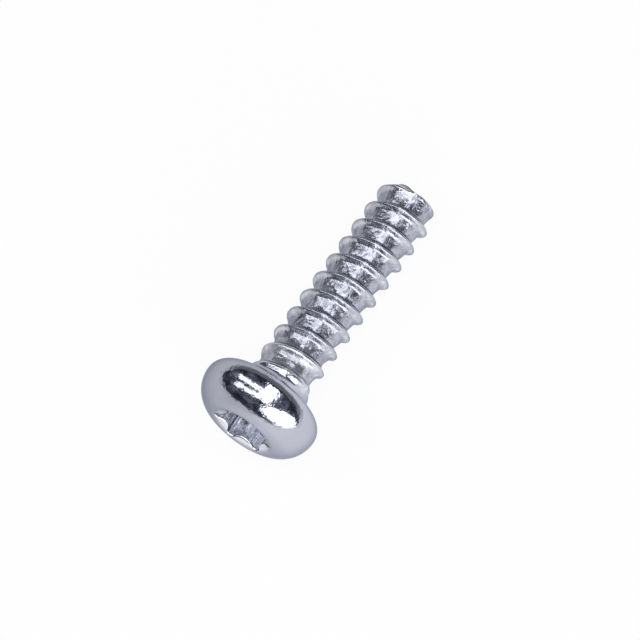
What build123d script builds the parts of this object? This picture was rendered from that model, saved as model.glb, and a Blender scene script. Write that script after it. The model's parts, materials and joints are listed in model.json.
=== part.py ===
"""Pan head sheet metal screw with a six-lobe recess, a coarse spaced thread and a blunt end.

The screw is one piece of cold-headed, thread-rolled steel wire. It is modelled along its own
axis: the bearing face under the head lies at z = 0, the shank points along +Z and the crown
of the head is at z = -head_height. Angles around the axis start at +X and run towards +Y.
The finished screw is then laid down as it comes to rest on a flat surface, on the rim of its
head and on the crest of its thread, with its end towards +X. All lengths are millimetres.
"""
from build123d import *
from math import asin, atan2, ceil, cos, degrees, floor, hypot, pi, radians, sin, sqrt, tan
import os

# Pan head: a flat crown, a round shoulder, a short straight side and a rounded lower edge
head_height = 3.18
crown_radius = 8.5
shoulder_radius = 1.95
bearing_width = 0.58
bearing_edge_radius = 0.92

# Six-lobe recess with a conical floor
lobe_count = 6
across_lobes = 3.9
across_waists = 2.82
lobe_radius = 0.305
wall_depth = 1.75
floor_angle = 140.0
recess_turn = 15.5

# Collar that flares from the neck to the head, and the plain neck
collar_diameter = 4.64
collar_length = 1.62
collar_fillet = 0.15
neck_diameter = 3.26
neck_end = 1.8
neck_taper_angle = 12.0

# Core of the threaded shank, and its plain end, which also cuts the last turn of the thread
shank_length = 15.4
core_diameter = 3.02
end_diameter = 2.88
end_slope = 30.0

# Rolled right-hand thread: its section, then where its crest begins and ends
thread_diameter = 4.05
thread_pitch = 1.41
thread_angle = 60.0
crest_width = 0.08
toe_height = 0.12
toe_angle = 110.0
root_overlap = 0.1
front_crest_height = 3.91
thread_begin = 0.85
run_in_depth = 0.11
run_in_turns = 1.6
bare_end = 0.32
run_out_turns = 0.12
points_per_turn = 16

# Turn about its own axis in which the screw lies
rest_roll = 10.7

collar_radius = collar_diameter / 2
head_radius = collar_radius + bearing_width + bearing_edge_radius
neck_radius = neck_diameter / 2
core_radius = core_diameter / 2
crest_radius = thread_diameter / 2
thread_turns = (shank_length - bare_end - thread_begin) / thread_pitch
last_full_turn = thread_turns - run_out_turns


def polar(radius, angle):
    """A point at this distance from the axis, at this angle in radians around it."""
    return (radius * cos(angle), radius * sin(angle))


def headed_blank():
    """Head, collar and neck as one turned profile, down to where the thread's core takes over."""
    shoulder_reach = head_radius - shoulder_radius
    crown_centre = crown_radius - head_height
    shoulder_centre = crown_centre - sqrt((crown_radius - shoulder_radius) ** 2 - shoulder_reach**2)
    blend = atan2(shoulder_reach, crown_centre - shoulder_centre)
    crown_middle = (crown_radius * sin(blend / 2), crown_centre - crown_radius * cos(blend / 2))
    crown_rim = (crown_radius * sin(blend), crown_centre - crown_radius * cos(blend))
    inner_radius = core_radius / 2
    taper_end = neck_end + (neck_radius - inner_radius) / tan(radians(neck_taper_angle))
    with BuildPart() as blank:
        with BuildSketch(Plane.XZ):
            with BuildLine():
                ThreePointArc((0, -head_height), crown_middle, crown_rim)
                RadiusArc(crown_rim, (head_radius, shoulder_centre), -shoulder_radius)
                Polyline(
                    (head_radius, shoulder_centre),
                    (head_radius, 0),
                    (collar_radius, 0),
                    (neck_radius, collar_length),
                    (neck_radius, neck_end),
                    (inner_radius, taper_end),
                    (0, taper_end),
                    (0, -head_height),
                )
            make_face()
        revolve(axis=Axis.Z)
        bearing_edges = blank.edges().filter_by(GeomType.CIRCLE).filter_by_position(Axis.Z, -0.001, 0.001)
        bearing_edges = bearing_edges.sort_by(SortBy.RADIUS)
        fillet(bearing_edges[-1], bearing_edge_radius)
        fillet(bearing_edges[0], collar_fillet)
    return blank.part


def core_rod():
    """The plain core of the threaded shank, from the bearing face to a turn past the end."""
    return Cylinder(core_radius, shank_length + thread_pitch, align=(Align.CENTER, Align.CENTER, Align.MIN))


def beyond_the_end():
    """Everything past the flat end and its slope, as a solid to cut away."""
    end_radius = end_diameter / 2
    slope_foot = shank_length - (thread_diameter - end_radius) * tan(radians(end_slope))
    with BuildPart() as beyond:
        with BuildSketch(Plane.XZ):
            Polygon(
                (0, shank_length),
                (end_radius, shank_length),
                (thread_diameter, slope_foot),
                (thread_diameter, shank_length + 2 * thread_pitch),
                (0, shank_length + 2 * thread_pitch),
                align=None,
            )
        revolve(axis=Axis.Z)
    return beyond.part


def crest_radius_at(turns):
    """Crest radius this many turns after the thread begins inside the collar: it rises, then drops."""
    collar_slope = (collar_radius - neck_radius) / collar_length
    run_in_radius = collar_radius - collar_slope * thread_begin - run_in_depth
    sunk_radius = core_radius - root_overlap
    rise = run_in_radius + (crest_radius - run_in_radius) * min(turns / run_in_turns, 1)
    left_share = min((thread_turns - turns) / run_out_turns, 1)
    drop = sunk_radius + (crest_radius - sunk_radius) * left_share
    return min(rise, drop)


def stretch_ends():
    """Turns at which the ridge is divided: the run-in, single full turns, then the run-out."""
    ends = [0, run_in_turns]
    while ends[-1] + 1 < last_full_turn:
        ends.append(ends[-1] + 1)
    return ends + [last_full_turn, thread_turns]


def thread_edge(inset, offset, first_turn, last_turn):
    """One edge of a stretch of ridge, this far below the crest and this far along the axis."""
    step_count = ceil((last_turn - first_turn) * points_per_turn) + 2
    first_angle = 2 * pi * (thread_begin - front_crest_height) / thread_pitch
    points = []
    places = []
    for step in range(step_count + 1):
        turns = first_turn + (last_turn - first_turn) * step / step_count
        x, y = polar(crest_radius_at(turns) - inset, first_angle + 2 * pi * turns)
        points.append((x, y, thread_begin + thread_pitch * turns + offset))
        places.append(turns)
    return Edge.make_spline(points, parameters=places)


def rolled_ridge():
    """The ridge of the thread: a narrow crest, two flanks, two sloping toes and a foot inside the core."""
    toe_inset = crest_radius - core_radius - toe_height
    foot_inset = crest_radius - core_radius + root_overlap
    half_crest = crest_width / 2
    half_toe = half_crest + toe_inset * tan(radians(thread_angle / 2))
    half_foot = half_toe + (foot_inset - toe_inset) * tan(radians(toe_angle / 2))
    section = [
        (foot_inset, -half_foot),
        (toe_inset, -half_toe),
        (0, -half_crest),
        (0, half_crest),
        (toe_inset, half_toe),
        (foot_inset, half_foot),
    ]
    ends = stretch_ends()
    faces = []
    for first_turn, last_turn in zip(ends, ends[1:]):
        rails = [thread_edge(inset, offset, first_turn, last_turn) for inset, offset in section]
        for rail, next_rail in zip(rails, rails[1:] + rails[:1]):
            faces.append(Face.make_surface_from_curves(rail, next_rail))
        if first_turn == ends[0]:
            faces.append(Face(Wire.make_polygon([rail @ 0 for rail in rails])))
        if last_turn == ends[-1]:
            faces.append(Face(Wire.make_polygon([rail @ 1 for rail in rails])))
    return Solid(Shell(faces))


def six_lobe_recess():
    """The recess as a solid to cut away: round lobes and tangent waists over a conical floor."""
    half_step = pi / lobe_count
    lobe_centre = across_lobes / 2 - lobe_radius
    waist = across_waists / 2
    along = lobe_centre * cos(half_step)
    waist_radius = (lobe_radius**2 - lobe_centre**2 - waist**2 + 2 * along * waist) / (
        2 * (waist - along - lobe_radius)
    )
    waist_centre = waist + waist_radius
    lobe_share = lobe_radius / (lobe_radius + waist_radius)
    join_x = lobe_centre + (waist_centre * cos(half_step) - lobe_centre) * lobe_share
    join_y = waist_centre * sin(half_step) * lobe_share
    join_distance = hypot(join_x, join_y)
    join_angle = atan2(join_y, join_x)
    floor_drop = across_lobes / 2 / tan(radians(floor_angle / 2))
    top = -head_height - 1
    floor_edge = -head_height + wall_depth
    with BuildPart() as recess:
        with BuildSketch(Plane.XY.offset(top)):
            with BuildLine():
                for lobe in range(lobe_count):
                    centre = radians(recess_turn) + 2 * half_step * lobe
                    lobe_start = polar(join_distance, centre - join_angle)
                    lobe_tip = polar(across_lobes / 2, centre)
                    lobe_end = polar(join_distance, centre + join_angle)
                    waist_middle = polar(waist, centre + half_step)
                    next_start = polar(join_distance, centre + 2 * half_step - join_angle)
                    ThreePointArc(lobe_start, lobe_tip, lobe_end)
                    ThreePointArc(lobe_end, waist_middle, next_start)
            make_face()
        extrude(amount=floor_edge + floor_drop - top)
        with BuildPart(mode=Mode.INTERSECT):
            with BuildSketch(Plane.XZ):
                Polygon(
                    (0, top),
                    (across_lobes, top),
                    (across_lobes, floor_edge - floor_drop),
                    (0, floor_edge + floor_drop),
                    align=None,
                )
            revolve(axis=Axis.Z)
    return recess.part


def resting_tilt():
    """Slope of the axis when the head's rim and the last full crest touch the surface."""
    bottom_turns = (180 - rest_roll) / 360
    last_full_height = thread_begin + last_full_turn * thread_pitch
    crest_count = floor((last_full_height - front_crest_height) / thread_pitch - bottom_turns)
    crest_height = front_crest_height + (crest_count + bottom_turns) * thread_pitch + crest_width / 2
    along = crest_height + bearing_edge_radius
    drop = head_radius - bearing_edge_radius - crest_radius
    return degrees(atan2(drop, along) + asin(bearing_edge_radius / hypot(along, drop)))


def resting_place(upright):
    """Where the screw lies: on its side, its end towards +X, the middle of its base at the origin."""
    turned = Rot(Y=90 + resting_tilt()) * Rot(Z=180 + rest_roll)
    box = (turned * upright).bounding_box()
    return Pos(-box.center().X, -box.center().Y, -box.min.Z) * turned


threaded_rod = core_rod() + rolled_ridge() - beyond_the_end()
upright_screw = headed_blank() + threaded_rod - six_lobe_recess()
rest = resting_place(upright_screw)
screw = rest * upright_screw
screw.label = "screw"
os.makedirs("parts", exist_ok=True)
export_step(screw, "parts/screw.step")
print(f"screw {screw.volume:.2f} mm3, tilt {resting_tilt():.2f} degrees, size {screw.bounding_box().size}")
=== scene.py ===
# %% [markdown]
# # A zinc-plated sheet metal screw
#
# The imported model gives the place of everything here: the screw lies on the floor, on the rim of
# its head and on one crest of its thread. This lesson puts a finely made surface over that plain
# solid, gives it bright zinc plating, and lights it as a small product is lit on a white table.

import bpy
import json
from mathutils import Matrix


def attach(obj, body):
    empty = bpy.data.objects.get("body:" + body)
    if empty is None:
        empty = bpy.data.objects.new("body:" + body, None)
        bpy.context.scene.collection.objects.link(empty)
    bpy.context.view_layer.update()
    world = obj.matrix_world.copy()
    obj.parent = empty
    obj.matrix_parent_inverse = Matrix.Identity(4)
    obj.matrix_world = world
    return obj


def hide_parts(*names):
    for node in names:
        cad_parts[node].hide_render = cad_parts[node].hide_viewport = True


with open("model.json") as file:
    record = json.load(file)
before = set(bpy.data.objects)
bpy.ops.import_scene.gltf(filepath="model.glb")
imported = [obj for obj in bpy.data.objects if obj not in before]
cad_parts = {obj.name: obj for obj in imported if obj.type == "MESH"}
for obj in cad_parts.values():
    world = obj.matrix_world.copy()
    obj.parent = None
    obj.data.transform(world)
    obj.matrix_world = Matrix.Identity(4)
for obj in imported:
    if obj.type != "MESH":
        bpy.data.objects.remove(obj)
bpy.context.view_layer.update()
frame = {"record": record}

# %% [markdown]
# ## Which way the screw points
#
# A screw is drawn upright, but it can't stand like that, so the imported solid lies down. Typing in
# its place and tilt would make a second record of them, which could go wrong. The solid's own
# mounts say where the bearing face under the head is and which way the shank points, and one matrix
# made of them lays an upright surface down onto the solid. Only the turn about its own axis, in
# which the screw lies, is a number of its own.

# %% Imports, the bearing face and the axis
from math import acos, atan2, ceil, cos, degrees, floor, hypot, pi, radians, sin, sqrt, tan
import json

import bmesh
import bpy
from mathutils import Matrix, Vector

MM = 0.001
mounts = {mount["name"]: mount for mount in frame["record"]["mounts"]}
bearing_centre = Vector(mounts["bearing_face"]["pos_m"])
screw_axis = Vector(mounts["bearing_face"]["axis"]).normalized()
head_height = (Vector(mounts["driver_recess"]["pos_m"]) - bearing_centre).length
print("head height", round(head_height / MM, 3), "mm")

# %% From upright to lying
rest_roll = radians(10.7)
resting_tilt = -atan2(screw_axis.z, screw_axis.x)
upward = Vector((sin(resting_tilt), 0, cos(resting_tilt)))
front = upward * cos(rest_roll) + Vector((0, -sin(rest_roll), 0))
side = screw_axis.cross(front)
upright_to_rest = Matrix((front, side, screw_axis)).transposed().to_4x4()
upright_to_rest.translation = bearing_centre
print("the axis slopes down by", round(degrees(resting_tilt), 2), "degrees")

# %% [markdown]
# ## Writing node maths as sums
#
# A node tree made by hand needs a Math node for each plus and each times, and soon nobody can read
# it. One small class wraps a socket and overloads the operators, so the tree is written as a sum
# and the nodes appear by themselves. It serves Geometry Nodes and shaders alike, because both use
# the same Math node. A second class adds every other node by one method: first the node's
# settings, because they decide which sockets it has, then numbers or links for the sockets.


# %% A socket that can be added, scaled and compared
class Value:
    def __init__(self, tree, socket):
        self.tree = tree
        self.socket = socket

    def __add__(self, other):
        return self.tree.math("ADD", self, other)

    def __sub__(self, other):
        return self.tree.math("SUBTRACT", self, other)

    def __rsub__(self, other):
        return self.tree.math("SUBTRACT", other, self)

    def __mul__(self, other):
        return self.tree.math("MULTIPLY", self, other)

    def __truediv__(self, other):
        return self.tree.math("DIVIDE", self, other)

    def __rtruediv__(self, other):
        return self.tree.math("DIVIDE", other, self)

    def __pow__(self, other):
        return self.tree.math("POWER", self, other)

    def __gt__(self, other):
        return self.tree.math("GREATER_THAN", self, other)

    def __lt__(self, other):
        return self.tree.math("LESS_THAN", self, other)

    __radd__ = __add__
    __rmul__ = __mul__


print("sums of sockets ready")


# %% A node tree that is filled from code
class Nodes:
    def __init__(self, tree):
        self.tree = tree

    def node(self, kind, settings=None, sockets=None):
        """Adds a node, makes its settings, then feeds its sockets with numbers or links."""
        made = self.tree.nodes.new(kind)
        for name, setting in (settings or {}).items():
            setattr(made, name, setting)
        for key, value in (sockets or {}).items():
            if isinstance(value, Value):
                self.tree.links.new(value.socket, made.inputs[key])
            else:
                made.inputs[key].default_value = value
        return made

    def value(self, kind, settings=None, sockets=None, output=0):
        """Adds a node in the same way and gives back one of its outputs."""
        return Value(self, self.node(kind, settings, sockets).outputs[output])

    def math(self, operation, *numbers):
        return self.value("ShaderNodeMath", {"operation": operation}, dict(enumerate(numbers)))

    def sine(self, number):
        return self.math("SINE", number)

    def cosine(self, number):
        return self.math("COSINE", number)

    def root(self, number):
        return self.math("SQRT", number)

    def least(self, one, other):
        return self.math("MINIMUM", one, other)

    def most(self, one, other):
        return self.math("MAXIMUM", one, other)

    def share(self, number):
        """The number held between 0 and 1."""
        return self.least(self.most(number, 0.0), 1.0)

    def step(self, number, low, high):
        """Goes smoothly from 0 at low to 1 at high."""
        ends = {"Value": number, "From Min": low, "From Max": high}
        return self.value("ShaderNodeMapRange", {"interpolation_type": "SMOOTHSTEP"}, ends)

    def blend(self, share, one, other):
        """Goes from one number to the other as the share goes from 0 to 1."""
        return one + (other - one) * share

    def colour_blend(self, share, one, other):
        """The same for colours. A Mix node has an output of each type, so the colour's is looked for."""
        mix = self.node("ShaderNodeMix", {"data_type": "RGBA"}, {"Factor": share, "A": one, "B": other})
        return Value(self, next(output for output in mix.outputs if output.type == "RGBA"))


print("node trees ready")

# %% [markdown]
# ## The rows of the surface
#
# The real screw is one piece of wire, headed in a press and then rolled, and it has no seam. So the
# surface is one sheet of rows and columns, wrapped round the axis and closed at both poles. It is
# worked out upright: the bearing face under the head is at height zero, the shank points up and
# angles count from the side that faces the camera. A row starts as one point of the outline, and
# there are four kinds. The rows of the recess and crown follow the six lobes, the rows of the head
# are turned, the rows of the thread climb, and the rows of the end are flat. The points could be
# typed in, but arcs and steps worked out here stay true when a size changes.
#
# In the recess a row's reach is a share of the way from the axis to the lobed wall, and past 1 the
# way on from the wall to the shoulder. Its depth is a share of the way down. A small quarter round
# joins the wall and the crown, because a bright edge needs a radius to catch the light.

# %% Rows of the recess, its lip and the crown
row_fields = ("first", "second", "mouth", "threaded", "climbing")
rows = []


def add_row(first, second, mouth=0.0, threaded=0.0, climbing=0.0):
    """One row: reach and depth in the mouth, or radius and height elsewhere."""
    rows.append((first, second, mouth, threaded, climbing))


lip_reach = 0.11
lip_depth = 0.08
lip_rows = 8
floor_reaches = (0, 0.12, 0.25, 0.4, 0.55, 0.7, 0.82, 0.91, 0.96, 0.985)
wall_depths = (0.985, 0.95, 0.88, 0.8, 0.7, 0.6, 0.5, 0.4, 0.3, 0.23, 0.17, 0.13, 0.1, lip_depth)
crown_reaches = (1.13, 1.15, 1.18, 1.24, 1.34, 1.46, 1.6, 1.74, 1.88, 2)

for reach in floor_reaches:
    add_row(reach, 1, mouth=1)
for depth in wall_depths:
    add_row(1, depth, mouth=1)
for number in range(1, lip_rows + 1):
    bend = pi / 2 * number / lip_rows
    add_row(1 + lip_reach * (1 - cos(bend)), lip_depth * (1 - sin(bend)), mouth=1)
for reach in crown_reaches:
    add_row(reach, 0, mouth=1)
print("rows in the recess and crown:", len(rows))

# %% [markdown]
# ## The turned head
#
# A pan head is a flat crown arc that meets a round shoulder, a rounded lower edge and a flat ring
# that bears on the sheet. The sizes are those of the solid, so the surface lies on it, and the
# centres of the arcs follow from them: the shoulder's arc touches both the crown and the side.

# %% Sizes and arcs of the head
head_radius = 3.82 * MM
crown_radius = 8.5 * MM
shoulder_radius = 1.95 * MM
lower_edge_radius = 0.92 * MM
collar_radius = 2.32 * MM
collar_fillet = 0.15 * MM

shoulder_reach = head_radius - shoulder_radius
crown_centre = crown_radius - head_height
shoulder_centre = crown_centre - sqrt((crown_radius - shoulder_radius) ** 2 - shoulder_reach**2)
blend_angle = atan2(shoulder_reach, crown_centre - shoulder_centre)
blend_radius = crown_radius * sin(blend_angle)
print("head", round(2 * head_radius / MM, 2), "mm across, crown", round(2 * blend_radius / MM, 2), "mm")

# %% Rows of the head
shoulder_rows = 26
lower_edge_rows = 16
ring_shares = (0.3, 0.6, 0.8)

for number in range(1, shoulder_rows + 1):
    bend = blend_angle + (pi / 2 - blend_angle) * number / shoulder_rows
    add_row(shoulder_reach + shoulder_radius * sin(bend), shoulder_centre - shoulder_radius * cos(bend))
for number in range(lower_edge_rows + 1):
    bend = pi / 2 * number / lower_edge_rows
    add_row(
        head_radius - lower_edge_radius * (1 - cos(bend)),
        -lower_edge_radius * (1 - sin(bend)),
    )
ring_outside = head_radius - lower_edge_radius
ring_inside = collar_radius + collar_fillet
for share in ring_shares:
    add_row(ring_outside + (ring_inside - ring_outside) * share, 0)
print("rows down to the collar:", len(rows))

# %% [markdown]
# ## Rows that climb with the thread
#
# A thread's crest is a helix. On level rows it would cross row after row, and bright plating would
# show each crossing as a small step. So a row here climbs one pitch in each turn and ends where the
# row one pitch above it begins: the crest never crosses a row. The rows crowd towards the crest,
# where the shape changes fastest. What climbs past the first or the last height is held there.

# %% Rows of the shank
shank_length = 15.4 * MM
end_radius = 1.44 * MM
thread_pitch = 1.41 * MM
front_crest_height = 3.91 * MM
end_steps_mm = (0.12, 0.09, 0.07, 0.05, 0.035, 0.02, 0.01, 0)
thread_low = 0.22 * MM
thread_high = shank_length - end_steps_mm[0] * MM
rows_per_turn = 26
crowding = 1.3

first_turn = floor((thread_low - thread_pitch - front_crest_height) / thread_pitch)
last_turn = ceil((thread_high - front_crest_height) / thread_pitch)
add_row(0, thread_low, threaded=1)
for turn in range(first_turn, last_turn + 1):
    for number in range(-rows_per_turn // 2, rows_per_turn // 2):
        place = number / (rows_per_turn / 2)
        offset = thread_pitch / 2 * abs(place) ** crowding * (1 if place > 0 else -1)
        height = front_crest_height + turn * thread_pitch + offset
        if thread_low - thread_pitch < height < thread_high:
            add_row(0, height, threaded=1, climbing=1)
for below in end_steps_mm:
    add_row(0, shank_length - below * MM, threaded=1)
print("rows down to the end:", len(rows))

# %% Rows of the flat end
end_shares = (0.985, 0.96, 0.9, 0.8, 0.65, 0.45, 0.22, 0)
for share in end_shares:
    add_row(end_radius * share, shank_length)
print("rows in all:", len(rows))

# %% [markdown]
# ## The sheet in Geometry Nodes
#
# A screw thread follows a rule, so Geometry Nodes can make it: every point of a plain grid looks up
# its row and is moved to its place round the axis. The same tree cuts the six lobes of the recess.
# Its sizes are named inputs, so other numbers make another screw. A modifier takes the number of an
# input by the socket's identifier, so each number is noted under that.

# %% An empty tree and a way to give it inputs
tree = bpy.data.node_groups.new("Turned and threaded screw", "GeometryNodeTree")
tree.interface.new_socket(name="Outline", in_out="INPUT", socket_type="NodeSocketGeometry")
tree.interface.new_socket(name="Screw", in_out="OUTPUT", socket_type="NodeSocketGeometry")
given = tree.nodes.new("NodeGroupInput")
screw_nodes = Nodes(tree)
input_numbers = {}


def add_inputs(numbers, kind="NodeSocketFloat"):
    """Gives the tree one named input for each number."""
    for name, number in numbers.items():
        made = tree.interface.new_socket(name=name, in_out="INPUT", socket_type=kind)
        input_numbers[made.identifier] = number


def given_as(name):
    """What the modifier gives the input of this name."""
    return Value(screw_nodes, given.outputs[name])


add_inputs({"Rows": len(rows), "Columns": 192, "Seed": 7}, "NodeSocketInt")
print("inputs so far:", len(input_numbers))

# %% Each point of the grid looks up its row
columns = given_as("Columns")
points_round = columns + 1
counts = {"Vertices X": given_as("Rows"), "Vertices Y": points_round}
flat_grid = screw_nodes.value("GeometryNodeMeshGrid", None, counts, "Mesh")
index = screw_nodes.value("GeometryNodeInputIndex")
row = screw_nodes.math("FLOOR", (index + 0.5) / points_round)
turn = (index - row * points_round) / columns
angle = turn * (2 * pi)


def looked_up(name):
    """The value that the outline's point of this row holds."""
    stored = screw_nodes.value("GeometryNodeInputNamedAttribute", {"data_type": "FLOAT"}, {"Name": name})
    picked = {"Geometry": given_as("Outline"), "Value": stored, "Index": row}
    return screw_nodes.value("GeometryNodeSampleIndex", {"data_type": "FLOAT"}, picked)


first, second, mouth, threaded, climbing = [looked_up(name) for name in row_fields]
print("values looked up for each row:", len(row_fields))

# %% [markdown]
# ## Six lobes
#
# A punch leaves this recess: six round lobes joined by round waists, and both arcs meet without a
# corner. A boolean cut would leave slivers along the rim, which show on bright metal. Here the rows
# follow the lobes instead. In the angle from the nearest lobe each arc is one short formula, and
# the surface takes the lobe's up to the meeting point and the waist's after it.

# %% Arcs of a lobe and a waist
lobe_count = 6
lobe_reach = 1.95 * MM
waist_reach = 1.41 * MM
lobe_radius = 0.305 * MM

half_step = pi / lobe_count
lobe_centre = lobe_reach - lobe_radius
along = lobe_centre * cos(half_step)
waist_radius = (lobe_radius**2 - lobe_centre**2 - waist_reach**2 + 2 * along * waist_reach) / (
    2 * (waist_reach - along - lobe_radius)
)
waist_centre = waist_reach + waist_radius
lobe_share = lobe_radius / (lobe_radius + waist_radius)
join_x = lobe_centre + (waist_centre * cos(half_step) - lobe_centre) * lobe_share
join_angle = atan2(waist_centre * sin(half_step) * lobe_share, join_x)
add_inputs({
    "Recess turn": radians(15.5),
    "Lobe step": 2 * half_step,
    "Lobe centre": lobe_centre,
    "Lobe radius": lobe_radius,
    "Waist centre": waist_centre,
    "Waist radius": waist_radius,
    "Join angle": join_angle,
})
print("lobe and waist meet", round(degrees(join_angle), 2), "degrees from the lobe's middle")


# %% The lobed line
def arc_reach(centre, radius, from_centre, far_side):
    """How far an arc lies from the axis at this angle from its centre's direction."""
    across = screw_nodes.sine(from_centre) * centre
    half_chord = screw_nodes.root(screw_nodes.most(radius * radius - across * across, 0.0))
    return screw_nodes.cosine(from_centre) * centre + half_chord * far_side


lobe_step = given_as("Lobe step")
steps_round = (angle - given_as("Recess turn")) / lobe_step
from_lobe = screw_nodes.math("ABSOLUTE", steps_round - screw_nodes.math("ROUND", steps_round)) * lobe_step
from_waist = lobe_step / 2 - from_lobe
lobe_line = arc_reach(given_as("Lobe centre"), given_as("Lobe radius"), from_lobe, 1)
waist_line = arc_reach(given_as("Waist centre"), given_as("Waist radius"), from_waist, -1)
lobed = screw_nodes.blend(from_lobe > given_as("Join angle"), lobe_line, waist_line)
print("nodes so far:", len(tree.nodes))

# %% [markdown]
# ## Crown, dish and floor
#
# The crown is a flat arc, and the punch has drawn it down into a shallow dish round the recess. The
# recess ends in a flat cone. Separate meshes for these would need a join at the rim. In the sheet
# each of them is a height at a distance from the axis, and a row's depth says how far its points
# have gone from the crown down to the floor.

# %% Heights in the mouth
wall_depth = 1.75 * MM
floor_half_angle = radians(70)
add_inputs({
    "Crown radius": crown_radius,
    "Crown centre": crown_centre,
    "Crown reach": blend_radius,
    "Dish depth": 0.3 * MM,
    "Dish inner": 1.35 * MM,
    "Dish outer": 2.2 * MM,
    "Floor edge": wall_depth - head_height,
    "Floor reach": lobe_reach,
    "Floor slope": 1 / tan(floor_half_angle),
})

inside = screw_nodes.least(first, 1.0)
outside = screw_nodes.most(first - 1.0, 0.0)
mouth_radius = lobed * inside + (given_as("Crown reach") - lobed) * outside
crown_square = given_as("Crown radius") * given_as("Crown radius")
crown_arc = given_as("Crown centre") - screw_nodes.root(crown_square - mouth_radius * mouth_radius)
past_dish = screw_nodes.step(mouth_radius, given_as("Dish inner"), given_as("Dish outer"))
crown_height = crown_arc + given_as("Dish depth") * (1 - past_dish)
floor_rise = (given_as("Floor reach") - mouth_radius) * given_as("Floor slope")
mouth_height = screw_nodes.blend(second, crown_height, given_as("Floor edge") + floor_rise)
print("nodes so far:", len(tree.nodes))

# %% [markdown]
# ## The rolled thread
#
# Two dies roll this thread into the wire: metal is squeezed out of the roots and flows up into the
# crest, which is a narrow roof with a fine groove where the two sides met. The dies bite step by
# step, so the first ridge is lower and softer, and the last one runs out at the end. A profile swept
# along a helix would need a join with the core at every turn. Here each point of the sheet asks how
# far away the nearest crest is along the axis and lets the roof and the flank fall from there.
# The slopes and softness of the crest are the surface's own: the solid has a plainer ridge there.

# %% Sizes of the thread
core_radius = 1.51 * MM
crest_radius = 2.025 * MM
crest_angle = radians(40)
flank_angle = radians(24)
ridge_begin = 0.5 * MM
ridge_begin_length = 0.25 * MM
run_out_turns = 0.12
sunk_share = 0.93
crest_softness = 0.045 * MM
run_in_softening = 3.5
run_in_flattening = 0.5
add_inputs({
    "Thread pitch": thread_pitch,
    "Thread low": thread_low,
    "Thread high": thread_high,
    "Front crest height": front_crest_height,
    "Core radius": core_radius,
    "Sunk radius": core_radius * sunk_share,
    "Crest radius": crest_radius,
    "Run-in radius": 1.9 * MM,
    "Run-in low": 1.8 * MM,
    "Run-in high": 3.2 * MM,
    "Ridge begin": ridge_begin,
    "Ridge begun": ridge_begin + ridge_begin_length,
    "Thread finish": 15.2 * MM,
    "Run-out length": run_out_turns * thread_pitch,
    "Crest width": 0.3 * MM,
    "Crest slope": 1 / tan(crest_angle),
    "Run-in slope": run_in_flattening / tan(crest_angle),
    "Flank slope": 1 / tan(flank_angle),
    "Crest softness": crest_softness,
    "Run-in softness": crest_softness * run_in_softening,
    "Groove depth": 0.03 * MM,
    "Groove half width": 0.04 * MM,
})
print("thread", round(2 * crest_radius / MM, 2), "mm across, core", round(2 * core_radius / MM, 2), "mm")

# %% The nearest crest
pitch = given_as("Thread pitch")
first_crest = given_as("Front crest height")
climbed = second + turn * pitch * climbing
held = screw_nodes.least(screw_nodes.most(climbed, given_as("Thread low")), given_as("Thread high"))
height = held * climbing + second * (1 - climbing)
crests_up = (height - first_crest) / pitch - turn
nearest = screw_nodes.math("ROUND", crests_up)
from_crest = screw_nodes.math("ABSOLUTE", crests_up - nearest) * pitch
crest_height = first_crest + (nearest + turn) * pitch
print("nodes so far:", len(tree.nodes))

# %% How far the crest stands out
risen = screw_nodes.step(crest_height, given_as("Run-in low"), given_as("Run-in high"))
begun = screw_nodes.step(crest_height, given_as("Ridge begin"), given_as("Ridge begun"))
left = screw_nodes.share((given_as("Thread finish") - crest_height) / given_as("Run-out length"))
full = screw_nodes.least(
    screw_nodes.blend(risen, given_as("Run-in radius"), given_as("Crest radius")),
    screw_nodes.blend(left, given_as("Sunk radius"), given_as("Crest radius")),
)
crest_here = screw_nodes.blend(begun, given_as("Sunk radius"), full)
print("nodes so far:", len(tree.nodes))

# %% Roof, flank and groove
softness = screw_nodes.blend(risen, given_as("Run-in softness"), given_as("Crest softness"))


def softened(distance):
    """The distance without its sign, with the corner at zero rounded."""
    return screw_nodes.root(distance * distance + softness * softness)


on_far_side = crests_up > nearest
steepened = screw_nodes.most(risen, on_far_side)
roof_slope = screw_nodes.blend(steepened, given_as("Run-in slope"), given_as("Crest slope"))
roof_fall = (softened(from_crest) - softness) * roof_slope
past_roof = from_crest - given_as("Crest width") / 2
steeper_by = (given_as("Flank slope") - given_as("Crest slope")) * risen
flank_fall = (softened(past_roof) + past_roof) / 2 * steeper_by
in_groove = screw_nodes.share(1 - from_crest / given_as("Groove half width")) * risen
ridge = crest_here - roof_fall - flank_fall - given_as("Groove depth") * in_groove
print("nodes so far:", len(tree.nodes))

# %% [markdown]
# ## Collar, neck and roots
#
# Under the head the metal flares in a hollow collar, with a small fold that the press left on its
# right side. A short plain neck follows and tapers slowly to the core. The roots between the ridges
# are rounded and rise towards the next crest, most of all in the first one. Fillets on a finished
# mesh would have to find their edges first. Here all these are radii that are added up, and a
# smooth maximum joins them to the ridge.

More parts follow.
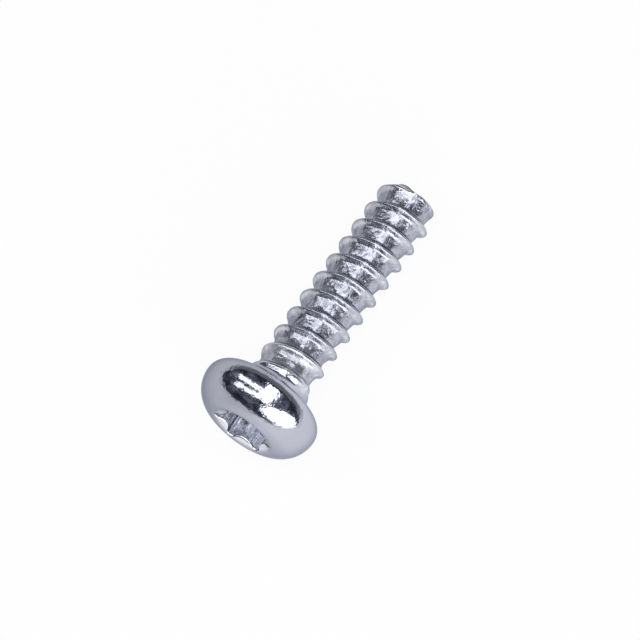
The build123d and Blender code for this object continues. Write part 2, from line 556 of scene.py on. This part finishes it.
# %% Sizes of the collar, the neck and the roots
neck_radius = 1.63 * MM
neck_taper = radians(3)
fold_angle = radians(104)
fold_narrowness = 5
collar_hollowness = 2.3
rise_lateness = 1.9
first_root_extra = 0.3
root_rounding = 0.22 * MM
run_in_rounding_share = 0.5
add_inputs({
    "Collar height": collar_radius - neck_radius,
    "Collar length": 1.62 * MM,
    "Fold depth": 0.46 * MM,
    "Fold low": 1.0 * MM,
    "Fold high": 1.95 * MM,
    "Neck radius": neck_radius,
    "Neck end": 1.8 * MM,
    "Neck slope": tan(neck_taper),
    "Root depth": 0.03 * MM,
    "Root rise": 0.3 * MM,
    "Rise low": 1.3 * MM,
    "Rise high": 2.1 * MM,
    "First root low": 2.4 * MM,
    "First root high": 3.8 * MM,
    "Root rounding": root_rounding,
    "Run-in rounding": root_rounding * run_in_rounding_share,
})
print("neck", round(2 * neck_radius / MM, 2), "mm across")


# %% Collar and neck
def side_share(middle, narrowness):
    """1 on the side at this angle, falling to 0 on either hand of it."""
    return screw_nodes.share(screw_nodes.cosine(angle - middle)) ** narrowness


up_the_collar = screw_nodes.share(1 - height / given_as("Collar length"))
collar = given_as("Collar height") * up_the_collar**collar_hollowness
above_fold = screw_nodes.step(height, given_as("Fold low"), given_as("Fold high"))
fold = given_as("Fold depth") * side_share(fold_angle, fold_narrowness) * (1 - above_fold)
tapered = given_as("Neck radius") - (height - given_as("Neck end")) * given_as("Neck slope")
neck = screw_nodes.least(given_as("Neck radius"), tapered)
print("nodes so far:", len(tree.nodes))

# %% Roots, and the ridge joined to them
up_the_root = crests_up - screw_nodes.math("FLOOR", crests_up)
rising = screw_nodes.step(height, given_as("Rise low"), given_as("Rise high"))
past_first_root = screw_nodes.step(height, given_as("First root low"), given_as("First root high"))
rise = given_as("Root rise") * up_the_root**rise_lateness * rising
rise = rise * (1 + first_root_extra * (1 - past_first_root))
root = given_as("Core radius") - given_as("Root depth") + rise
stem = screw_nodes.most(neck, root) + collar + fold
rounding = screw_nodes.blend(risen, given_as("Run-in rounding"), given_as("Root rounding"))
round_ridge = screw_nodes.math("SMOOTH_MAX", ridge, stem, rounding)
print("nodes so far:", len(tree.nodes))

# %% [markdown]
# ## Dents, and a cut end
#
# Rolled wire isn't smooth: its core is full of small flats and dents, and on bright plating they
# break the light into white and black patches. Noise in the material alone would leave the outline
# straight, so the dents move the surface itself. The end was cut off: it is slightly slanted, has
# an uneven burr round its edge, and a small lug where the thread runs off it.


# %% Dents
def round_axis(radius, along_height):
    """The point at this radius and height, at this column's angle."""
    across = {"X": radius * screw_nodes.cosine(angle), "Y": radius * screw_nodes.sine(angle)}
    return screw_nodes.value("ShaderNodeCombineXYZ", None, {**across, "Z": along_height})


dent_size = 0.8 * MM
dents_on_crest = 0.5
dents_on_collar = 0.2
add_inputs({
    "Dent depth": 0.2 * MM,
    "Dent fade": 0.35 * MM,
    "Dents low": 0.9 * MM,
    "Dents high": 1.5 * MM,
})
lumpy = {"Vector": round_axis(given_as("Core radius"), height), "W": given_as("Seed")}
lumpy.update({"Scale": 1 / dent_size, "Detail": 3.0, "Roughness": 0.55})
noise = screw_nodes.value("ShaderNodeTexNoise", {"noise_dimensions": "4D"}, lumpy)
up_the_flank = screw_nodes.share((round_ridge - given_as("Core radius")) / given_as("Dent fade"))
past_collar = screw_nodes.step(height, given_as("Dents low"), given_as("Dents high"))
dent_share = screw_nodes.blend(up_the_flank, 1, dents_on_crest)
dent_share = dent_share * screw_nodes.blend(past_collar, dents_on_collar, 1)
dented = round_ridge + (noise - 0.5) * given_as("Dent depth") * dent_share
print("nodes so far:", len(tree.nodes))

# %% Burr and lug
end_slope = radians(30)
lug_angle = radians(-38)
lug_narrowness = 14
add_inputs({
    "Shank length": shank_length,
    "End radius": end_radius,
    "End slope": 1 / tan(end_slope),
    "Burr begin": shank_length - 0.45 * MM,
    "Burr depth": 0.2 * MM,
    "Lug height": 0.2 * MM,
    "Lug reach": 0.12 * MM,
})
end_line = given_as("End radius") + (given_as("Shank length") - height) * given_as("End slope")
near_end = screw_nodes.step(height, given_as("Burr begin"), given_as("Shank length"))
burr = (noise - 0.5) * given_as("Burr depth") * near_end
lug = side_share(lug_angle, lug_narrowness) * near_end
thread_radius = screw_nodes.least(dented, end_line + burr + lug * given_as("Lug reach"))
thread_height = height + lug * given_as("Lug height") - burr
print("nodes so far:", len(tree.nodes))

# %% [markdown]
# ## From the grid to the screw
#
# Now each point of the grid is moved to the radius and height that its kind of row gives, at its
# column's angle. The first and last column fall together, and so do the points of each pole. They
# are merged, which closes the sheet. The export drops instances, so every tree ends in Realize
# Instances, and then in Set Material.

# %% The grid is moved, closed and given its plating
merge_distance = 0.0008 * MM
add_inputs({"Slant begin": shank_length - 0.7 * MM, "End slant": 0.1})
plating_socket = tree.interface.new_socket(name="Plating", in_out="INPUT", socket_type="NodeSocketMaterial")

turned = 1 - mouth - threaded
radius_here = mouth_radius * mouth + thread_radius * threaded + first * turned
height_here = mouth_height * mouth + thread_height * threaded + second * turned
slanted = screw_nodes.step(height_here, given_as("Slant begin"), given_as("Shank length"))
height_here = height_here + radius_here * screw_nodes.sine(angle) * (slanted * given_as("End slant"))
place_here = round_axis(radius_here, height_here)
moved = screw_nodes.value(
    "GeometryNodeSetPosition", None, {"Geometry": flat_grid, "Position": place_here}
)
closed = screw_nodes.value(
    "GeometryNodeMergeByDistance", None, {"Geometry": moved, "Distance": merge_distance}
)
smooth = screw_nodes.value("GeometryNodeSetShadeSmooth", None, {"Geometry": closed, "Shade Smooth": True})
real = screw_nodes.value("GeometryNodeRealizeInstances", None, {"Geometry": smooth})
plated = screw_nodes.value(
    "GeometryNodeSetMaterial", None, {"Geometry": real, "Material": given_as("Plating")}
)
screw_nodes.node("NodeGroupOutput", None, {"Screw": plated})
print("nodes in the tree:", len(tree.nodes), "and numbers among its inputs:", len(input_numbers))

# %% [markdown]
# ## Bright zinc plating
#
# Zinc plating with a clear blue finish is a mirror with a cool tone. The head is nearly smooth. The
# threaded part carries what the dies and the plating bath left: lumps, little pits, fine grain,
# rougher dull patches in the roots and flanks with less relief. Light and shade are painted in as
# well: the roots are painted darker in patches as painted shade, and the flanks, the recess and the
# neck are painted lighter as painted reflected light. An image would have to be wrapped round the
# thread.
# Noise on Object coordinates stays on the metal however the screw lies, and the distances along and
# from the axis tell the head, the recess, the roots, the flanks and the crests apart.

# %% Where on the screw a point of the plating lies
plating = bpy.data.materials.new("zinc_plating")
plating.use_nodes = True
plating.node_tree.nodes.clear()
shader = Nodes(plating.node_tree)
where = shader.value("ShaderNodeTexCoord", output="Object")


def vector_math(operation, one, other, output=0):
    return shader.value("ShaderNodeVectorMath", {"operation": operation}, {0: one, 1: other}, output)


from_bearing = vector_math("SUBTRACT", where, tuple(bearing_centre))
along_axis = vector_math("DOT_PRODUCT", from_bearing, tuple(screw_axis), output="Value")
on_axis = shader.value(
    "ShaderNodeVectorMath", {"operation": "SCALE"}, {0: tuple(screw_axis), "Scale": along_axis}
)
off_axis = vector_math("SUBTRACT", from_bearing, on_axis)
from_axis = shader.value("ShaderNodeVectorMath", {"operation": "LENGTH"}, {0: off_axis}, "Value")
print("plating nodes so far:", len(plating.node_tree.nodes))

# %% Masks for the shank, the neck, the flanks, the crests and the recess
shank_begins = (0.6 * MM, 1.4 * MM)
neck_ends = (2.3 * MM, 3.3 * MM)
flank_begins = (core_radius + 0.1 * MM, core_radius + 0.3 * MM)
crest_begins = (crest_radius - 0.14 * MM, crest_radius - 0.04 * MM)
recess_begins = (0.05 * MM, 0.2 * MM)
recess_ends = (-0.65 * MM, -0.5 * MM)
recess_limit = 2.2 * MM

on_shank = shader.step(along_axis, *shank_begins)
near_neck = on_shank * (1 - shader.step(along_axis, *neck_ends))
on_flank = shader.step(from_axis, *flank_begins)
on_crest = on_shank * shader.step(from_axis, *crest_begins)
crown_here = from_axis * from_axis * (0.5 / crown_radius) - head_height
in_recess = shader.step(along_axis - crown_here, *recess_begins)
in_recess = in_recess * (1 - shader.step(along_axis, *recess_ends)) * (recess_limit > from_axis)
print("plating nodes so far:", len(plating.node_tree.nodes))


# %% Grain, and the relief that it gives
def grain(size_mm, detail, distortion=0.0):
    """Noise whose lumps are about this many millimetres across."""
    sockets = {"Vector": where, "Scale": 1 / (size_mm * MM), "Detail": detail, "Distortion": distortion}
    return shader.value("ShaderNodeTexNoise", None, sockets)


lumps = grain(0.55, 2.5)
pits = grain(0.3, 2.0, distortion=0.6)
peel = grain(0.27, 2.5)
fine = grain(0.06, 2.0)

open_pits = (0.35, 0.7)
pit_depth = 0.25
shank_depth = 1.1
less_on_flank = 0.25
recess_depth = 0.35
peel_depth = 0.5
fine_on_shank = 0.05
fine_everywhere = 0.006
pebbles = shader.step(pits, *open_pits) * pit_depth + lumps
pebbled = on_shank * (shank_depth - on_flank * less_on_flank) + in_recess * recess_depth
relief = pebbles * pebbled + fine * (on_shank * fine_on_shank + fine_everywhere) + peel * peel_depth
bump = shader.value("ShaderNodeBump", None, {"Strength": 0.8, "Distance": 0.05 * MM, "Height": relief})
print("plating nodes so far:", len(plating.node_tree.nodes))

# %% Colour of the plating
darker_zinc = (0.405, 0.419, 0.49, 1)
lighter_zinc = (0.505, 0.519, 0.585, 1)
# Painted light: this light colour is painted into the recess, the neck and the flanks.
painted_light_zinc = (0.84, 0.85, 0.89, 1)
# Painted shade: this dark colour is painted into patches of the roots.
painted_shade_zinc = (0.27, 0.28, 0.33, 1)
# Lumps where the flanks get more painted light.
painted_light_lumps = (0.4, 0.62)
# Lumps where the roots get painted shade and are really rougher.
dull_and_shaded_lumps = (0.85, 1.15)
# Share of painted light in the recess, standing in for light bounced into it.
recess_painted_light = 0.85
# Share of painted light on the neck, standing in for its highlights.
neck_painted_light = 0.2
# Shares of painted light on the flanks, more in some lumps than in others.
flank_painted_light = 0.14
flank_patch_painted_light = 0.6
# Share of painted shade in the roots, where the plating is also rougher.
dull_and_shaded_root = 0.5

zinc = shader.colour_blend(grain(1.7, 2.0), darker_zinc, lighter_zinc)
open_flank = on_shank * on_flank * (1 - on_crest)
# The recess, the neck and the open flanks are painted lighter: painted reflected light.
painted_light_share = in_recess * recess_painted_light + near_neck * neck_painted_light
painted_light_share = painted_light_share + open_flank * (flank_painted_light + flank_patch_painted_light * shader.step(lumps, *painted_light_lumps))
# The roots are painted darker in patches as painted shade; the same patches are really rougher.
dull_and_shaded_share = on_shank * (1 - on_flank) * shader.step(pits + peel, *dull_and_shaded_lumps) * dull_and_shaded_root
with_painted_light = shader.colour_blend(painted_light_share, zinc, painted_light_zinc)
colour = shader.colour_blend(dull_and_shaded_share, with_painted_light, painted_shade_zinc)
print("plating nodes so far:", len(plating.node_tree.nodes))

# %% Roughness, and the metal itself
mirror_roughness = 0.1
shank_roughness = 0.13
neck_roughness = 0.08
crest_roughness = 0.04
dull_roughness = 0.2
fine_roughness = 0.06

roughness = mirror_roughness + on_shank * shank_roughness + near_neck * neck_roughness
roughness = roughness + on_crest * crest_roughness + dull_and_shaded_share * dull_roughness
roughness = roughness + (fine - 0.5) * fine_roughness
metal = shader.value(
    "ShaderNodeBsdfPrincipled",
    None,
    {
        "Base Color": colour,
        "Metallic": 1.0,
        "Roughness": roughness,
        "Specular Tint": (0.46, 0.48, 0.54, 1),
        "Normal": bump,
    },
)
shader.node("ShaderNodeOutputMaterial", None, {"Surface": metal})
print("plating nodes:", len(plating.node_tree.nodes))

# %% [markdown]
# ## The outline becomes the screw
#
# The tree has to be given its rows. A curve could carry the outline, but the kinds of row have to
# come with it, so a small mesh has one point for each row and carries them as attributes. A
# modifier runs the tree on it, and its result is taken as a plain mesh. The matrix lays the mesh
# itself down onto the solid, and the object stays at the origin, unturned. Edges of no length are
# dissolved and the faces are turned outwards, so that the shell is closed.

# %% The rows, as points that carry their values
outline = bpy.data.meshes.new("outline")
outline.from_pydata([(0, 0, number * MM) for number in range(len(rows))], [], [])
for number, name in enumerate(row_fields):
    layer = outline.attributes.new(name, "FLOAT", "POINT")
    layer.data.foreach_set("value", [values[number] for values in rows])
maker = bpy.data.objects.new("screw_maker", outline)
bpy.context.scene.collection.objects.link(maker)
print("points of the outline:", len(outline.vertices))

# %% The tree runs on them
modifier = maker.modifiers.new("Screw", "NODES")
modifier.node_group = tree
for identifier, number in input_numbers.items():
    modifier[identifier] = number
modifier[plating_socket.identifier] = plating

evaluated = maker.evaluated_get(bpy.context.evaluated_depsgraph_get())
screw_mesh = bpy.data.meshes.new_from_object(evaluated)
maker.modifiers.clear()
bpy.data.objects.remove(maker)
screw_mesh.transform(upright_to_rest)
print("points of the screw:", len(screw_mesh.vertices))

# %% The mesh is cleaned
shortest_edge = 1e-5 * MM
shell = bmesh.new()
shell.from_mesh(screw_mesh)
bmesh.ops.dissolve_degenerate(shell, dist=shortest_edge, edges=shell.edges)
bmesh.ops.recalc_face_normals(shell, faces=shell.faces)
open_edges = sum(1 for edge in shell.edges if not edge.is_manifold)
shell.to_mesh(screw_mesh)
shell.free()
for name in row_fields:
    if name in screw_mesh.attributes:
        screw_mesh.attributes.remove(screw_mesh.attributes[name])
screw_mesh.materials.clear()
screw_mesh.materials.append(plating)
screw_mesh.polygons.foreach_set("material_index", [0] * len(screw_mesh.polygons))
triangles = sum(len(face.vertices) - 2 for face in screw_mesh.polygons)
print("triangles", triangles, "open edges", open_edges)

# %% The finished screw takes the solid's place
screw = bpy.data.objects.new("screw_surface", screw_mesh)
bpy.context.scene.collection.objects.link(screw)
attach(screw, "root")
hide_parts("screw")
print("materials on the screw:", [slot.name for slot in screw.material_slots])

# %% [markdown]
# ## The camera
#
# In the photograph the screw's axis rises to the right and leans away, so that the top of the head
# shows. A camera could be pushed about until it fits, but both angles can be measured: the lean in
# the picture directly, and the lean away from the foreshortening. From them and the way the solid
# lies, the camera's direction follows. It stands far off with a long lens, as in a product
# photograph, and the middle of the bearing face falls on its own pixel.

# %% The camera's direction
photo_lean = radians(53.75)
away_lean = radians(21.5)

lean_height = hypot(sin(photo_lean) * cos(away_lean), sin(away_lean))
elevation = acos(screw_axis.z / lean_height) - atan2(sin(away_lean), sin(photo_lean) * cos(away_lean))
axis_forward = sin(photo_lean) * cos(away_lean) * sin(elevation) + sin(away_lean) * cos(elevation)
azimuth = -atan2(axis_forward, cos(away_lean) * cos(photo_lean))
forward = Vector((-sin(azimuth), cos(azimuth), 0))
to_right = Vector((cos(azimuth), sin(azimuth), 0))
looking = forward * cos(elevation) - Vector((0, 0, sin(elevation)))
to_top = forward * sin(elevation) + Vector((0, 0, cos(elevation)))
print("camera elevation", round(degrees(elevation), 1), "azimuth", round(degrees(azimuth), 1))

# %% What it aims at
picture_side = 640
pixels_per_mm = 16.95
head_pixel_x = 258.5
head_pixel_y = 410
pixels_along = 19.6
pixels_across = -0.9

bearing_pixel_x = head_pixel_x + pixels_along * cos(photo_lean) + pixels_across * sin(photo_lean)
bearing_pixel_y = head_pixel_y - pixels_along * sin(photo_lean) + pixels_across * cos(photo_lean)
offset_right = (bearing_pixel_x - picture_side / 2) / pixels_per_mm * MM
offset_down = (bearing_pixel_y - picture_side / 2) / pixels_per_mm * MM
aim = bearing_centre - to_right * offset_right + to_top * offset_down
print("bearing face at pixel", round(bearing_pixel_x, 1), round(bearing_pixel_y, 1))

# %% The camera itself
camera_distance = 200 * MM
sensor = 36

camera_data = bpy.data.cameras.new("camera")
camera_data.sensor_width = sensor
camera_data.lens = pixels_per_mm / MM * camera_distance / picture_side * sensor
camera_data.clip_start = 0.01
camera = bpy.data.objects.new("camera", camera_data)
camera.matrix_world = Matrix((to_right, to_top, -looking)).transposed().to_4x4()
camera.location = aim - looking * camera_distance
bpy.context.scene.collection.objects.link(camera)
bpy.context.scene.camera = camera
print("lens", round(camera_data.lens), "mm")

# %% [markdown]
# ## A white table
#
# Polished metal has hardly any look of its own: it shows what is around it. Small hardware is often
# photographed on a white table with soft boxes above it and a dark room behind them. A plain white
# table would come out grey in the picture and would light the metal too evenly. So the material
# asks by which kind of ray it is seen: the camera sees near-white paper that keeps the screw's
# shadow, and polished metal sees a painted sheen, a glow that stands in for the lit table and is
# painted greyer on the far side of the screw as a fall-off of light.

# %% The table's top
table_side = 3.0
table_mesh = bpy.data.meshes.new("table")
corners = [(x * table_side / 2, y * table_side / 2, 0) for x, y in ((-1, -1), (1, -1), (1, 1), (-1, 1))]
table_mesh.from_pydata(corners, [], [(0, 1, 2, 3)])
table = bpy.data.objects.new("table", table_mesh)
bpy.context.scene.collection.objects.link(table)
print("table", table_side, "m wide")

# %% The table's material
paper_white = (0.9, 0.9, 0.9, 1)
full_white = (1, 1, 1, 1)
# Painted light: the glow seen in the metal falls from white to this grey towards the back, a painted
# fall-off of light.
far_sheen_falloff = (0.71, 0.71, 0.72, 1)
sheen_fades = (-8 * MM, 12 * MM)
sheen_strength = 1.15
camera_glow = 0.92

white = bpy.data.materials.new("white_table")
white.use_nodes = True
white.node_tree.nodes.clear()
table_nodes = Nodes(white.node_tree)
path = table_nodes.node("ShaderNodeLightPath").outputs
by_camera = Value(table_nodes, path["Is Camera Ray"])
by_metal = Value(table_nodes, path["Is Glossy Ray"])
by_glass = Value(table_nodes, path["Is Transmission Ray"])
on_table = table_nodes.value("ShaderNodeTexCoord", output="Object")
towards_back = table_nodes.value("ShaderNodeSeparateXYZ", None, {0: on_table}, "Y")
fading = table_nodes.step(towards_back, *sheen_fades)
sheen_colour = table_nodes.colour_blend(fading, full_white, far_sheen_falloff)
paper = table_nodes.value("ShaderNodeBsdfDiffuse", None, {"Color": paper_white})
glow = table_nodes.value("ShaderNodeEmission", None, {"Color": full_white, "Strength": 1.0})
shown = table_nodes.value("ShaderNodeMixShader", None, {0: by_camera * camera_glow, 1: paper, 2: glow})
# The sheen is painted light: a glow that only reflecting rays see, standing in for the lit table.
sheen = table_nodes.value("ShaderNodeEmission", None, {"Color": sheen_colour, "Strength": sheen_strength})
both = table_nodes.value("ShaderNodeMixShader", None, {0: by_metal + by_glass, 1: shown, 2: sheen})
table_nodes.node("ShaderNodeOutputMaterial", None, {"Surface": both})
table_mesh.materials.append(white)
print("table nodes:", len(white.node_tree.nodes))

# %% [markdown]
# ## A dark room
#
# The near-black band across the head of a bright screw is the room above the table. A room could be
# built of walls, but the metal shows only soft tones of it, and a world made of nodes gives those.
# Near the table it is pale and grows darker with height, and the pale part reaches higher on one
# side. Above it the room is dark, with a little clutter that breaks the band up.

# %% The room
low_wall = 0.9
high_wall = 0.23
wall_darkens = (0.0, 0.3)
wall_reach = 0.93
wall_edge = (0.0, 0.13)
darkness = 0.03
clutter_light = 0.22
clutter_begins = (0.12, 0.4)
clutter_lumps = (0.42, 0.62)

world = bpy.data.worlds.new("room")
world.use_nodes = True
bpy.context.scene.world = world
world.node_tree.nodes.clear()
room = Nodes(world.node_tree)
direction = room.value("ShaderNodeTexCoord", output="Generated")
sideways = room.value("ShaderNodeSeparateXYZ", None, {0: direction}, "X")
up = room.value("ShaderNodeSeparateXYZ", None, {0: direction}, "Z")
above = up - room.most(sideways * wall_reach, 0.0)
clutter = room.value("ShaderNodeTexNoise", None, {"Vector": direction, "Scale": 5.0, "Detail": 2.0})
wall = room.blend(room.step(up, *wall_darkens), low_wall, high_wall)
cluttered = room.step(above, *clutter_begins) * room.step(clutter, *clutter_lumps)
past_wall = room.step(above, *wall_edge)
brightness = room.blend(past_wall, wall, darkness + clutter_light * cluttered)
room_colour = room.colour_blend(past_wall, (0.96, 0.98, 1, 1), (0.88, 0.92, 1.15, 1))
room_light = room.value("ShaderNodeBackground", None, {"Color": room_colour, "Strength": brightness})
room.node("ShaderNodeOutputWorld", None, {"Surface": room_light})
print("room nodes:", len(world.node_tree.nodes))

# %% [markdown]
# ## Soft boxes
#
# The white patches on the head and the shank are the reflections of soft boxes. Each one is placed
# by where its reflection shows, so its direction is given in the camera's own right, top and back,
# and its size as a share of its distance. The energy follows from the size, so that all four boxes
# look equally bright: one over the screw, two strips, and one large oval box in front.

# %% Four area lights
box_distance = 0.5
box_brightness = 2.3


def soft_box(name, right, top, back, width, length, turned_by, shape="RECTANGLE"):
    """An area light seen from the screw in this direction, given in the camera's own directions."""
    away = (to_right * right + to_top * top - looking * back).normalized()
    across = to_top.cross(away).normalized()
    facing = Matrix((across, away.cross(across), away)).transposed()
    data = bpy.data.lights.new(name, "AREA")
    data.shape = shape
    data.size = width * box_distance
    data.size_y = length * box_distance
    filled = 1 if shape == "RECTANGLE" else pi / 4
    data.energy = box_brightness * data.size * data.size_y * filled * pi
    box = bpy.data.objects.new(name, data)
    box.matrix_world = (facing @ Matrix.Rotation(radians(turned_by), 3, "Z")).to_4x4()
    box.location = away * box_distance
    bpy.context.scene.collection.objects.link(box)
    print(name, round(data.size * data.size_y * filled, 3), "square metres")


soft_box("soft_box_over", 0.14, 0.20, 0.97, 0.52, 1.22, 138)
soft_box("strip_far", -0.41, 0.50, 0.76, 0.26, 0.96, 56)
soft_box("strip_near", -0.59, 0.13, 0.80, 0.88, 0.26, 152)
soft_box("soft_box_front", 0.22, -0.69, 0.69, 1.45, 0.85, 6, "ELLIPSE")

# %% [markdown]
# ## View
#
# The Standard view shows a colour about as it is written, where a filmic one would grey the white
# table.

settings = bpy.context.scene.view_settings
settings.view_transform = "Standard"
